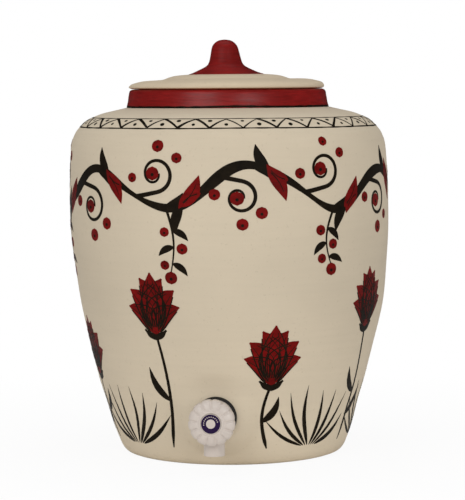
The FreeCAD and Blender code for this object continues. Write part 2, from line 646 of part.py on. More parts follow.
PIECES = [pot_base, pot_wall_low, pot_body, pot_shoulder, pot_neck, lid, outer_gasket, inner_gasket, lock_nut,
          tap_body, bonnet_seal, bonnet, spindle_ring, spindle, valve_jumper, valve_washer, knob, knob_screw,
          index_cap, index_label]

os.makedirs("parts", exist_ok=True)
for make in PIECES:
    shape = make()
    shape.exportStep(f"parts/{make.__name__}.step")
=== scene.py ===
"""Looks of a painted clay water pot with a loose lid and a white screw-down tap.

Metres, +Z up. The pot stands on the floor at the origin, and its tap points along -Y.
"""

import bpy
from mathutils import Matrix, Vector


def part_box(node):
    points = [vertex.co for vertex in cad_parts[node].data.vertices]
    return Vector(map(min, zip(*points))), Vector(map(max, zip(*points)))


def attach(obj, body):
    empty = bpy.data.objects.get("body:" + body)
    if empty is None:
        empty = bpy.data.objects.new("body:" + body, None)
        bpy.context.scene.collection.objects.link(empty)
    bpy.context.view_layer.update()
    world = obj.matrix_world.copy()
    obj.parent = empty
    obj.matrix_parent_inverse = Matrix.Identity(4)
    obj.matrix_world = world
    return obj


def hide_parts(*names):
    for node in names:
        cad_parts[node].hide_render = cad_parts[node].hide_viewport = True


bl_info = {
    "name": "Clay Water Pot with Tap",
    "version": (1, 0, 0),
    "blender": (4, 5, 0),
    "location": "3D View > Sidebar > Water Pot",
    "description": "Builds a painted clay water pot, its lid and its tap around a fixed frame",
    "category": "Add Mesh",
}

import bisect
import bmesh
import bpy
import functools
import random
from bpy.props import FloatProperty, FloatVectorProperty, IntProperty, PointerProperty
from itertools import accumulate
from math import ceil, copysign, cos, dist, exp, hypot, log, pi, radians, sin, sqrt, tan
from mathutils import Matrix, Vector

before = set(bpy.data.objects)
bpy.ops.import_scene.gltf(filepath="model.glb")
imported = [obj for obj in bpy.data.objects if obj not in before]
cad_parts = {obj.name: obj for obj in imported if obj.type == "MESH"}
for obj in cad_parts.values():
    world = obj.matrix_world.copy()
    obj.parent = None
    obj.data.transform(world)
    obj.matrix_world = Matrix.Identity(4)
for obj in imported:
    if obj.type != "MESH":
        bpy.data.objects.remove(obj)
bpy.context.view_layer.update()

MM = 0.001
TURN = 2 * pi
CREAM, RED, RAW = range(3)      # materials of the body and of the lid

# Outlines as (radius, height) in millimetres. The outer wall runs from the foot to the neck
OUTER_WALL = [
    (97.6, 0), (101, 1), (104, 4), (106.8, 9.6), (112.7, 25.5), (118.7, 47), (125.7, 70), (133.2, 100),
    (142, 139), (146.5, 177), (148.9, 205), (149.3, 233), (148.6, 260), (147, 285), (144.5, 294.5),
    (140.9, 301), (133.6, 308.6), (126.2, 312.6), (117.2, 316.1), (105.2, 318.9), (94.4, 321.4)
]
NECK = [(94.4, 321.4), (93.1, 327.5), (92.3, 333), (91.9, 335)]
RIM = [
    (91.9, 335), (91.4, 336.4), (90.3, 337.5), (88.4, 338.2), (86.4, 338.4), (85, 338.4), (83.6, 337.8),
    (83, 336.4)
]
INNER_WALL = [
    (83, 336.4), (83, 326), (83.4, 316.5), (87, 313.6), (100, 311), (114.5, 307.6), (127.6, 301.5),
    (134, 295.6), (138.2, 284), (140.7, 262), (141.2, 233), (137.6, 177), (124.6, 102), (110, 47),
    (103.3, 25), (99.4, 17), (93, 12.6), (84, 12)
]
LID_UNDERSIDE = [
    (0, 349.2), (8, 347.6), (22, 341.6), (26, 340.4), (60, 340.3), (69, 339.6), (71.8, 337), (72.4, 330.4),
    (73.4, 328.8), (76.4, 328.4), (79.4, 328.8), (80.4, 330.4), (80.5, 337.6), (80.9, 338.6), (84, 338.6),
    (87, 338.6), (88.8, 338.7), (90.2, 339.2)
]
LID_EDGE = [(90.2, 339.2), (91.1, 339.8), (91.4, 340.6)]
LID_TOP = [
    (91.4, 340.6), (91.2, 341.5), (90.3, 342.8), (88.6, 344), (85, 345.1), (81, 346.1), (77, 346.7),
    (70, 347.1), (62, 347.3), (58.8, 347.7), (56.2, 348.6), (53, 349.7), (49, 350.7), (43, 351.4),
    (35.8, 351.9)
]
LID_CONE = [
    (35.8, 351.9), (30.6, 353.6), (25.4, 355.9), (20.6, 358.2), (17.5, 360.2), (15.8, 362.6), (14.6, 366.2),
    (13.3, 372.2), (12.2, 376.8), (10.9, 379.4), (8.3, 382), (4.8, 383.7), (0, 384.3)
]
KNOB_SIDE = [
    (16.4, 0), (18.2, 0), (19.4, 0.5), (20, 2), (20.5, 5.2), (20.4, 8.4), (19.6, 10.2), (18, 11.5),
    (15, 12.7), (12.4, 13.2), (11.3, 13.2)
]
KNOB_COLLAR = [(11.3, 13.2), (10.9, 13.5), (10.4, 13.9), (9.8, 14), (9.3, 13.8), (9.1, 13.4), (9, 10.7)]
KNOB_BACK = [(4.15, 10.7), (4.15, 7.4), (13.2, 7.4), (15.4, 6.4), (16.3, 4.4)]

# Slow waves of the wall as (lobes, share, start, twist with height)
WALL_WAVES = ((2, 0.5, 0.6, 7), (3, 0.35, 2.0, -11), (5, 0.15, 1.0, 19))
RING_PITCH = 0.0062
WAVE_RISE = 0.03                    # the waves grow from nothing at the foot over this height
BOW_SPREAD, FOOT_SPREAD = 0.045, 0.025
PAD_TOP, PAD_SIDE = 0.1, 0.06       # no point beyond these is near the flat behind the tap
FLOOR_TOP = 0.0118                  # inside the pot
STROKE_COLUMN = 0.0022              # the most between points across a stroke

# Painted light on the cream paint: lighter towards the foot in place of light bounced from the floor, and
# darker at mid height, as (height, tone)
PAINTED_LIGHT_BY_HEIGHT = ((0.015, 1.0), (0.055, 0.925), (0.16, 0.827), (0.3, 0.866))

STEEL = ((0.42, 0.42, 0.43), (0.62, 0.62, 0.63))    # its darkest and its lightest tone

# Petals of a bud from back to front as (angle, length, width)
PETALS = [(-0.8, 0.036, 0.019), (0.8, 0.036, 0.019), (-0.5, 0.046, 0.023), (0.5, 0.046, 0.023),
          (-0.22, 0.052, 0.024), (0.22, 0.052, 0.024), (0.0, 0.056, 0.024)]

# Lamps as (name, place, size in metres, watts)
LAMPS = (("key", (-0.9, -2.1, 1.25), 1.5, 14.0), ("fill", (1.2, -1.95, 0.65), 1.1, 10.5),
         ("top", (0.0, 0.1, 1.9), 1.6, 5.5))


def setting(kind, **how):
    """A maker of settings of one kind, from their name, description and default."""
    return lambda name, description, default: kind(name=name, description=description, default=default, **how)


metres = setting(FloatProperty, unit="LENGTH")
angle = setting(FloatProperty, subtype="ANGLE")
colour = setting(FloatVectorProperty, subtype="COLOR", min=0, max=1)
number = setting(IntProperty, min=3)


class PotSettings(bpy.types.PropertyGroup):
    segments: number("Segments", "Faces round the pot", 384)
    row_step: metres("Row step", "Distance between rows of faces on the outside", 0.002)
    wobble: metres("Wobble", "How far the thrown wall strays from a circle", 0.0006)
    ring_depth: metres("Throwing rings", "Height of the faint rings left by the wheel", 0.00007)
    lean: angle("Lean", "How much the pot leans to the left", radians(0.523))
    bow: metres("Bow", "How far the wall bows to the right", 0.00145)
    bow_height: metres("Bow height", "Where it bows most", 0.14)
    foot_shift: metres("Foot shift", "How far the foot stands to the right", 0.0005)
    pad_radius: metres("Pad radius", "Flat clay face behind the tap", 0.0205)
    pad_blend: metres("Pad blend", "Width over which the flat runs into the wall", 0.02)
    cream: colour("Cream", "Matt paint of the body", (0.704, 0.602, 0.452))
    crimson: colour("Crimson", "Paint of the neck, the cone and the flowers", (0.218, 0.0048, 0.004))
    charcoal: colour("Charcoal", "Paint of lines, stems and leaves", (0.01, 0.0066, 0.003))
    raw_clay: colour("Raw clay", "Unpainted clay inside and underneath", (0.42, 0.17, 0.085))


class LidSettings(bpy.types.PropertyGroup):
    segments: number("Segments", "Faces round the lid", 288)
    wave: metres("Brim wave", "How far the brim rises and dips", 0.0007)
    tilt: angle("Tilt", "How much the lid's right side lies higher", radians(0.2))
    brim_tilt: angle("Brim tilt", "How much more the brim does so", radians(0.36))
    offset: metres("Offset", "How far the loose lid lies to the left in the neck", 0.0008)
    cone_offset: metres("Cone offset", "How much further the cone stands to the left", 0.0006)
    grip_lean: metres("Grip lean", "How much further the grip's top stands to the left", 0.0006)


class PaintSettings(bpy.types.PropertyGroup):
    lift: metres("Paint thickness", "How far a stroke stands off the clay", 0.00013)
    sink: metres("Paint root", "How deep a stroke's underside lies in the clay", 0.0004)
    triangles: number("Triangles", "Points of the zigzag round the shoulder", 29)
    band_low: metres("Band's lower line", "Height of the lower shoulder line", 0.3043)
    band_high: metres("Band's upper line", "Height of the upper shoulder line", 0.3126)
    scrolls: number("Scrolls", "Waves of the vine round the belly", 6)
    vine_height: metres("Vine height", "Middle height of the vine", 0.252)
    vine_swing: metres("Vine swing", "How far the vine rises and falls", 0.018)
    vine_width: metres("Vine width", "Mean thickness of the vine", 0.0074)
    buds: number("Buds", "Large buds that stand round the pot", 8)


class TapSettings(bpy.types.PropertyGroup):
    petals: number("Petals", "Petals round the knob", 13)
    groove: metres("Groove depth", "Depth of the grooves between the petals", 0.0009)
    washer_bulge: metres("Washer bulge", "How far the squeezed rubber stands out", 0.0012)
    washer_bore: metres("Washer bore", "Radius of the hole in the rubber washer", 0.0102)
    hole: metres("Tap hole", "Radius of the hole in the clay", 0.0108)
    white: colour("White", "Plastic of the tap", (0.595, 0.524, 0.47))
    blue: colour("Blue", "Ring label", (0.018, 0.006, 0.042))
    rubber: colour("Rubber", "Washers and rings", (0.012, 0.01, 0.008))


class StageSettings(bpy.types.PropertyGroup):
    distance: metres("Camera distance", "From the pot's axis", 2.06)
    height: metres("Camera height", "Above the floor", 0.3461)
    azimuth: angle("Camera azimuth", "Right of the tap's direction", radians(6.8))
    tilt: angle("Camera tilt", "Below the level line of sight", radians(4.414))
    pan: angle("Camera pan", "Right of the pot's axis", radians(0.018))
    roll: angle("Camera roll", "Turn about the line of sight", radians(-0.382))
    lens: FloatProperty(name="Lens", description="Focal length in millimetres", default=158.1)


def settings(name):
    return getattr(bpy.context.scene, name + "_settings")


@functools.cache
def node_box(node):
    """The lowest and the highest corner of a node of the frame."""
    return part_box(node)


def smooth_step(x):
    x = min(max(x, 0.0), 1.0)
    return x * x * (3 - 2 * x)


def smooth_line(points, step):
    """A smooth curve through points in millimetres, as (radius, height) in metres."""
    ends = [points[0]] + list(points) + [points[-1]]
    line = []
    for before, a, b, after in zip(ends, ends[1:], ends[2:], ends[3:]):
        count = max(1, round(dist(a, b) * MM / step))
        for i in range(count):
            u = i / count
            line.append(tuple(0.5 * (2 * a[c] + (b[c] - before[c]) * u
                                     + (2 * before[c] - 5 * a[c] + 4 * b[c] - after[c]) * u * u
                                     + (3 * a[c] - before[c] - 3 * b[c] + after[c]) * u ** 3) * MM
                              for c in (0, 1)))
    line.append(tuple(c * MM for c in points[-1]))
    return line


# Surface of the pot

def wall_wobble(theta, height):
    """How far the wall stands off its true outline: slow waves and faint rings."""
    pot = settings("pot")
    waves = sum(share * sin(lobes * theta + start + twist * height)
                for lobes, share, start, twist in WALL_WAVES)
    rings = sin(TURN * height / RING_PITCH + 0.7 * sin(theta)) * (0.6 + 0.4 * sin(23 * height))
    return smooth_step(height / WAVE_RISE) * (pot.wobble * waves + pot.ring_depth * rings)


def lean(height):
    """How far the pot stands to the left at a height. It bows back below the belly."""
    pot = settings("pot")
    bow = exp(-((height - pot.bow_height) / BOW_SPREAD) ** 2)
    foot = exp(-(height / FOOT_SPREAD) ** 2)
    return height * tan(pot.lean) - pot.bow * bow - pot.foot_shift * foot


def pot_point(theta, radius, height, face, flat, above=-1.0):
    """A point of the pot, drawn to the face of the flat behind the tap where it lies near it.

    Theta runs to the right from the tap's direction, seen from the front.
    """
    x, depth = radius * sin(theta), radius * cos(theta)
    if depth > 0 and above < height < PAD_TOP and abs(x) < PAD_SIDE:
        low, high = node_box("outer_gasket")
        away = hypot(x, height - (low.z + high.z) / 2)
        depth += (face - depth) * (1 - smooth_step((away - flat) / settings("pot").pad_blend))
    return Vector((x - lean(height), -depth, height))


def wall_point(theta, radius, height):
    return pot_point(theta, radius + wall_wobble(theta, height), height, -node_box("outer_gasket")[1].y,
                     settings("pot").pad_radius)


def inner_point(theta, radius, height):
    return pot_point(theta, radius, height, -node_box("inner_gasket")[0].y,
                     settings("pot").pad_radius - 0.001, FLOOR_TOP + 0.0012)


def between(known, values, wanted):
    """The value where a rising list of known numbers reaches the wanted one."""
    k = min(max(bisect.bisect(known, wanted) - 1, 0), len(known) - 2)
    return values[k] + (values[k + 1] - values[k]) * ((wanted - known[k]) / (known[k + 1] - known[k]))


class Outline:
    """The outline of the outer wall and the neck by its own length, for painting on it."""

    def __init__(self):
        points = smooth_line(OUTER_WALL, 0.001) + smooth_line(NECK, 0.001)[1:]
        self.radii, self.heights = zip(*points)
        self.lengths = list(accumulate(map(dist, points, points[1:]), initial=0.0))

    def at(self, length):
        return between(self.lengths, self.radii, length), between(self.lengths, self.heights, length)

    def length_at(self, height):
        return between(self.heights, self.lengths, height)

    def slope(self, length):
        """The outward normal of the outline, as (radial, upward)."""
        reach = 0.0015
        a, b = self.at(length - reach), self.at(length + reach)
        size = dist(a, b)
        return (b[1] - a[1]) / size, -(b[0] - a[0]) / size


# Meshes

def added(name, mesh):
    made = bpy.data.objects.new(name, mesh)
    bpy.context.scene.collection.objects.link(made)
    return made


def to_front(axis, rear):
    """Carries turned points to an axis that points to the front, with heights from its rear end."""
    return lambda theta, radius, height: Vector((axis.x + radius * sin(theta), rear - height,
                                                 axis.z + radius * cos(theta)))


def build(name, verts, faces, materials, indices=None, sharp=40):
    """A smooth-shaded closed mesh object with its faces turned outwards."""
    mesh = bpy.data.meshes.new(name)
    mesh.from_pydata(verts, [], faces)
    for material in materials:
        mesh.materials.append(material)
    if indices:
        mesh.polygons.foreach_set("material_index", indices)
    work = bmesh.new()
    work.from_mesh(mesh)
    bmesh.ops.recalc_face_normals(work, faces=work.faces)
    work.to_mesh(mesh)
    work.free()
    mesh.polygons.foreach_set("use_smooth", [True] * len(mesh.polygons))
    mesh.set_sharp_from_angle(angle=radians(sharp))
    mesh.update()
    return added(name, mesh)


def rows_of(line, place, material=0):
    """Rows for a turned mesh. Place carries (theta, radius, height) to a point."""
    return [(max(radius, 0.0), height, place, material) for radius, height in line]


def turned(name, rows, segments, materials, sharp):
    """A closed mesh turned from rows. Rows at radius 0 become one point."""
    verts, starts = [], []
    for radius, height, place, _ in rows:
        starts.append(len(verts))
        verts.extend(place(TURN * k / segments, radius, height) for k in range(segments if radius else 1))
    faces, indices = [], []
    for a, b, row, after in zip(starts, starts[1:], rows, rows[1:]):
        for k in range(segments):
            n = (k + 1) % segments
            if row[0] == 0:
                faces.append((a, b + k, b + n))
            elif after[0] == 0:
                faces.append((a + k, b, a + n))
            else:
                faces.append((a + k, a + n, b + n, b + k))
            indices.append(row[3])
    return build(name, verts, faces, materials, indices, sharp)


def hoop(name, rows, segments, material):
    """A closed mesh turned from rows that form a closed loop."""
    verts, faces = [], []
    for i, (radius, height, place, _) in enumerate(rows):
        verts.extend(place(TURN * k / segments, radius, height) for k in range(segments))
        a, b = i * segments, (i + 1) % len(rows) * segments
        faces.extend((a + k, a + n, b + n, b + k)
                     for k, n in ((k, (k + 1) % segments) for k in range(segments)))
    return build(name, verts, faces, [material], sharp=45)


# Materials

def blank(name):
    """A new material, its node tree and its main shader."""
    material = bpy.data.materials.new(name)
    material.use_nodes = True
    return material, material.node_tree, material.node_tree.nodes["Principled BSDF"]


def gloss(bsdf, roughness, specular=0.5):
    bsdf.inputs["Roughness"].default_value = roughness
    bsdf.inputs["Specular IOR Level"].default_value = specular


def linked(tree, kind, **sources):
    """A new node. Its inputs, with underscores for spaces, take sockets or values."""
    node = tree.nodes.new(kind)
    for name, source in sources.items():
        socket = node.inputs[name.replace("_", " ")]
        if isinstance(source, bpy.types.NodeSocket):
            tree.links.new(source, socket)
        else:
            socket.default_value = source
    return node


def own_place(tree):
    return tree.nodes.new("ShaderNodeTexCoord").outputs["Object"]


def noise(tree, scale, detail=4.0, stretch=(1, 1, 1), rough=0.55):
    mapping = linked(tree, "ShaderNodeMapping", Vector=own_place(tree), Scale=stretch)
    return linked(tree, "ShaderNodeTexNoise", Vector=mapping.outputs["Vector"], Scale=scale,
                  Detail=detail, Roughness=rough).outputs["Fac"]


def ramp(tree, source, *stops):
    made = linked(tree, "ShaderNodeValToRGB", Fac=source)
    for k, (place, shade) in enumerate(stops):
        stop = made.color_ramp.elements[k] if k < 2 else made.color_ramp.elements.new(place)
        stop.position = place
        stop.color = (*shade, 1)
    return made.outputs["Color"]


def map_range(tree, source, start, end, low, high):
    """Maps the span from start to end on to the one from low to high."""
    return linked(tree, "ShaderNodeMapRange", Value=source, From_Min=start, From_Max=end,
                  To_Min=low, To_Max=high).outputs["Result"]


def darkened(tree, shade, by, share=1.0):
    """A colour multiplied by another one, in full or by a share."""
    mix = tree.nodes.new("ShaderNodeMix")
    mix.data_type = "RGBA"
    mix.blend_type = "MULTIPLY"
    mix.inputs[0].default_value = share
    tree.links.new(shade, mix.inputs[6])
    tree.links.new(by, mix.inputs[7])
    return mix.outputs[2]


def clouded(tree, shade, scale, detail, low, high, start=0.3, end=0.7):
    """A colour that varies in soft patches between two shares of itself."""
    return ramp(tree, noise(tree, scale, detail), (start, scaled(shade, low)), (end, scaled(shade, high)))


def bumps(tree, bsdf, *layers):
    """Chains bumps, each (height socket, strength, distance), into the shader's normal."""
    normal = {}
    for height, strength, distance in layers:
        bump = linked(tree, "ShaderNodeBump", Strength=strength, Distance=distance, Height=height, **normal)
        normal = {"Normal": bump.outputs["Normal"]}
    tree.links.new(normal["Normal"], bsdf.inputs["Normal"])


def varied_roughness(tree, bsdf, source, low, high):
    tree.links.new(map_range(tree, source, 0.0, 1.0, low, high), bsdf.inputs["Roughness"])


def coloured(bsdf, shade):
    bsdf.id_data.links.new(shade, bsdf.inputs["Base Color"])


def scaled(shade, share):
    return tuple(min(1.0, c * share) for c in shade)


def grey(tone):
    return (tone,) * 3


def by_height(tree, stops):
    """A grey tone that changes with the height above the floor, as (metres, tone) stops."""
    parts = linked(tree, "ShaderNodeSeparateXYZ", Vector=own_place(tree))
    top = stops[-1][0]
    share = map_range(tree, parts.outputs["Z"], 0.0, top, 0.0, 1.0)
    return ramp(tree, share, *((height / top, grey(tone)) for height, tone in stops))


def paint_on_clay(tree, bsdf, shade, streak):
    """Matt brushed paint: cloudy patches, streaks round the pot, a fine grain, and painted light that is
    lighter towards the foot.
    """
    roughness, contrast = 0.78, 0.035
    gloss(bsdf, roughness, 0.35)
    clouds = clouded(tree, shade, 9.0, 5.0, 1 - contrast, 1 + contrast, end=0.72)
    streaks = noise(tree, 14.0, 6.0, (1.0, 1.0, 16.0))
    tone = ramp(tree, streaks, (0.25, grey(1 - streak)), (0.75, grey(1.0)))
    # painted light: a grey tone by height, lighter towards the foot in place of light bounced from the floor
    coat_with_painted_light = darkened(tree, darkened(tree, clouds, by_height(tree, PAINTED_LIGHT_BY_HEIGHT)), tone)
    dust = ramp(tree, noise(tree, 420.0, 2.0), (0.24, (0.8, 0.78, 0.74)), (0.36, grey(1.0)))
    coloured(bsdf, darkened(tree, coat_with_painted_light, dust, 0.55))
    varied_roughness(tree, bsdf, noise(tree, 60.0), roughness - 0.08, roughness + 0.08)
    bumps(tree, bsdf, (noise(tree, 1100.0, 3.0), 0.12, 0.00012), (streaks, 0.1, 0.0006),
          (noise(tree, 90.0, 3.0), 0.1, 0.0005))


def brushed_paint(tree, bsdf, shade, contrast, roughness, scale, stretch, specular):
    """Thicker paint laid with a brush, lighter where it is thin."""
    gloss(bsdf, roughness, specular)
    body = noise(tree, scale, 6.0, (1.0, 1.0, stretch), 0.62)
    clouds = ramp(tree, body, (0.3, scaled(shade, 1 - contrast)), (0.52, shade),
                  (0.76, scaled(shade, 1 + 1.3 * contrast)))
    worn = ramp(tree, noise(tree, 18.0, 4.0), (0.35, grey(0.8)), (0.7, (1.16, 1.12, 1.12)))
    coloured(bsdf, darkened(tree, clouds, worn))
    varied_roughness(tree, bsdf, body, roughness - 0.12, roughness + 0.12)
    bumps(tree, bsdf, (noise(tree, 900.0, 3.0), 0.14, 0.00012), (body, 0.2, 0.0007))


def fired_clay(tree, bsdf, shade):
    gloss(bsdf, 0.88, 0.25)
    clouds = clouded(tree, shade, 16.0, 6.0, 0.84, 1.14)
    grit = ramp(tree, noise(tree, 500.0, 2.0), (0.3, (0.7, 0.66, 0.62)), (0.45, grey(1.0)))
    coloured(bsdf, darkened(tree, clouds, grit))
    bumps(tree, bsdf, (noise(tree, 700.0, 4.0), 0.3, 0.0003))


def moulded_plastic(tree, bsdf, shade, roughness, specular=0.5):
    """Moulded plastic with a faint orange peel and slightly uneven gloss."""
    gloss(bsdf, roughness, specular)
    coloured(bsdf, clouded(tree, shade, 45.0, 3.0, 0.95, 1.04))
    varied_roughness(tree, bsdf, noise(tree, 130.0), roughness - 0.05, roughness + 0.07)
    bumps(tree, bsdf, (noise(tree, 650.0, 2.0), 0.05, 0.0001))


def moulded_rubber(tree, bsdf, shade):
    gloss(bsdf, 0.62, 0.35)
    coloured(bsdf, clouded(tree, shade, 80.0, 4.0, 0.8, 1.5))
    bumps(tree, bsdf, (noise(tree, 1400.0, 2.0), 0.2, 0.00012))


def plated_steel(tree, bsdf, tones):
    gloss(bsdf, 0.35)
    bsdf.inputs["Metallic"].default_value = 1.0
    coloured(bsdf, ramp(tree, noise(tree, 200.0, 3.0, (1, 8, 1)), *zip((0.3, 0.7), tones)))
    varied_roughness(tree, bsdf, noise(tree, 300.0), 0.25, 0.5)


@functools.cache
def made_once(maker, name, *how):
    material, tree, bsdf = blank(name)
    maker(tree, bsdf, *how)
    return material


def finish(name):
    """The material of that name in the colours that are set."""
    pot, tap = settings("pot"), settings("tap")
    maker, shade, *how = {
        "cream_paint": (paint_on_clay, pot.cream, 0.035),
        "lid_paint": (paint_on_clay, [c * k for c, k in zip(pot.cream, (0.99, 0.95, 0.905))], 0.03),
        "crimson_paint": (brushed_paint, pot.crimson, 0.28, 0.33, 60.0, 14.0, 0.32),
        "lid_crimson": (brushed_paint, pot.crimson, 0.28, 0.44, 60.0, 14.0, 0.16),
        "crimson_brush": (brushed_paint, scaled(pot.crimson, 0.68), 0.34, 0.5, 90.0, 3.0, 0.06),
        "charcoal_brush": (brushed_paint, pot.charcoal, 0.4, 0.5, 160.0, 1.0, 0.06),
        "raw_clay": (fired_clay, pot.raw_clay),
        "tap_plastic": (moulded_plastic, tap.white, 0.34),
        "inner_plastic": (moulded_plastic, scaled(tap.white, 0.9), 0.45),
        "blue_print": (moulded_plastic, tap.blue, 0.42, 0.1),
        "tap_rubber": (moulded_rubber, tap.rubber),
        "plated_steel": (plated_steel, STEEL),
    }[name]
    return made_once(maker, name, tuple(shade), *how)


# Brush strokes on the outer wall

class Brush:
    """Collects strokes painted on the outer wall and builds them as one thin closed piece."""

    def __init__(self, seed, lift=1.0):
        self.outline = Outline()
        self.random = random.Random(seed)
        self.lift = lift
        self.verts, self.faces = [], []

    def on_wall(self, theta, length, off):
        radius, height = self.outline.at(length)
        out, up = self.outline.slope(length)
        return wall_point(theta, radius, height) + Vector((sin(theta) * out, -cos(theta) * out, up)) * off

    def patch(self, grid):
        """A closed shell over a grid of (theta, length) places."""
        paint = settings("paint")
        start, cols = len(self.verts), len(grid[0])
        last_row = start + (len(grid) - 1) * cols
        under = last_row + cols - start     # from a point on top to the one beneath it
        for off in (paint.lift * self.lift, -paint.sink):
            self.verts.extend(self.on_wall(theta, length, off) for row in grid for theta, length in row)
        for row in range(start, last_row, cols):
            for k in range(row, row + cols - 1):
                quad = (k, k + 1, k + cols + 1, k + cols)
                self.faces += quad, tuple(c + under for c in reversed(quad))
        edge = [*range(start, start + cols), *range(start + 2 * cols - 1, last_row + cols, cols),
                *range(last_row + cols - 2, last_row - 1, -1), *range(last_row - cols, start, -cols)]
        self.faces.extend((a, a + under, b + under, b) for a, b in zip(edge, edge[1:] + edge[:1]))

    def stroke(self, line, width, step=0.0016):
        """A stroke along (theta, length) places. Width is a function of the share of the way along."""
        places = self.resampled(line, step)
        last = len(places) - 1
        widths = [width(k / last) for k in range(last + 1)]
        cols = max(3, ceil(max(widths) / STROKE_COLUMN) + 1)
        grid = []
        for k, (theta, length) in enumerate(places):
            before, after = places[max(k - 1, 0)], places[min(k + 1, last)]
            radius = self.outline.at(length)[0]
            along = Vector(((after[0] - before[0]) * radius, after[1] - before[1])).normalized()
            half = widths[k] / 2
            grid.append([(theta - along.y * half * s / radius, length + along.x * half * s)
                         for s in (2 * j / (cols - 1) - 1 for j in range(cols))])
        self.patch(grid)

    def resampled(self, line, step):
        """The line's places at even steps of real distance on the wall."""
        sizes = [0.0]
        for (t0, l0), (t1, l1) in zip(line, line[1:]):
            radius = self.outline.at((l0 + l1) / 2)[0]
            sizes.append(sizes[-1] + hypot((t1 - t0) * radius, l1 - l0))
        count = max(3, ceil(sizes[-1] / step) + 1)
        places, k = [], 0
        for i in range(count):
            goal = sizes[-1] * i / (count - 1)
            while k < len(sizes) - 2 and sizes[k + 1] < goal:
                k += 1
            u = (goal - sizes[k]) / max(sizes[k + 1] - sizes[k], 1e-9)
            places.append(tuple(a + (b - a) * u for a, b in zip(line[k], line[k + 1])))
        return places

    def local(self, centre, shape, angle=0.0, size=1.0):
        """Carries a shape in metres on to the wall, turned about its centre."""
        theta, length = centre
        c, s = cos(angle), sin(angle)
        places = []
        for x, y in shape:
            up = length + (x * s + y * c) * size
            around = (x * c - y * s) * size
            places.append((theta + around / self.outline.at((length + up) / 2)[0], up))
        return places

    def point(self, centre, x, y, size=1.0):
        return self.local(centre, [(x, y)], 0.0, size)[0]

    def blade(self, root, shape, angle, width, fullest, step=0.0016):
        """A dab along a shape that stands on its root."""
        self.stroke(self.local(root, shape, angle), dab(width, fullest), step)

    def dot(self, centre, radius):
        """A round dab of paint."""
        half = [(0.0, -radius), (0.0, radius)]
        self.stroke(self.local(centre, half),
                    lambda u: 2 * radius * sqrt(max(1e-4, 1 - (2 * u - 1) ** 2)), radius / 4)

    def build(self, name, material):
        made = build(name, self.verts, self.faces, [material], sharp=60)
        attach(made, "pot")
        return made


def dab(width, fullest=0.5, tip=0.06):
    """The width of a dab: thin at both ends, and fullest at a share of its length."""
    power = log(0.5) / log(fullest)
    return lambda u: width * max(tip, sin(pi * u ** power) ** 0.85)


def tapered(start, end):
    return lambda u: start + (end - start) * u


def bent(length, bend, count=9):
    """A curved line up from the origin, which strays sideways by the bend in its middle."""
    return [(bend * sin(pi * k / (count - 1)), length * k / (count - 1)) for k in range(count)]


# Operators

class WATERPOT_OT_body(bpy.types.Operator):
    """Build the thrown clay body with its painted neck and a real hole for the tap"""
    bl_idname = "waterpot.body"
    bl_label = "Clay Body"

    def execute(self, context):
        pot = settings("pot")
        rim = smooth_line(RIM, 0.001)
        half = len(rim) // 2
        rows = rows_of([(0.0, 0.0), (0.045, 0.0), (0.085, 0.0)], wall_point, RAW)
        rows += rows_of(smooth_line(OUTER_WALL, pot.row_step)[:-1], wall_point, CREAM)
        rows += rows_of(smooth_line(NECK, pot.row_step)[:-1] + rim[:half], wall_point, RED)
        rows += rows_of(rim[half:-1], wall_point, RAW)
        rows += rows_of(smooth_line(INNER_WALL, 0.004), inner_point, RAW)
        rows += rows_of([(0.06, FLOOR_TOP + 0.0001), (0.03, FLOOR_TOP), (0.0, FLOOR_TOP)], inner_point, RAW)
        materials = [finish("cream_paint"), finish("crimson_paint"), finish("raw_clay")]
        body = turned("clay_body", rows, pot.segments, materials, 50)
        self.cut_tap_hole(body)
        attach(body, "pot")
        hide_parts(*(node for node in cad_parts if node.startswith("pot_")))
        return {"FINISHED"}

    def cut_tap_hole(self, body):
        """Cuts the hole behind the washer, with raw clay inside it."""
        washer_low, washer_high = node_box("outer_gasket")
        middle = (washer_low + washer_high) / 2
        reach, inward = 0.06, 0.012
        bpy.ops.mesh.primitive_cylinder_add(
            vertices=64, radius=settings("tap").hole, depth=reach, rotation=(pi / 2, 0, 0),
            location=middle + Vector((0, inward, 0)))
        cutter = bpy.context.object
        cutter.data.materials.append(finish("raw_clay"))
        cut = body.modifiers.new("tap_hole", "BOOLEAN")
        cut.object = cutter
        cut.operation = "DIFFERENCE"
        cut.solver = "EXACT"
        view = bpy.context.evaluated_depsgraph_get()
        mesh = bpy.data.meshes.new_from_object(body.evaluated_get(view))
        body.modifiers.clear()
        body.data = mesh
        bpy.data.objects.remove(cutter)


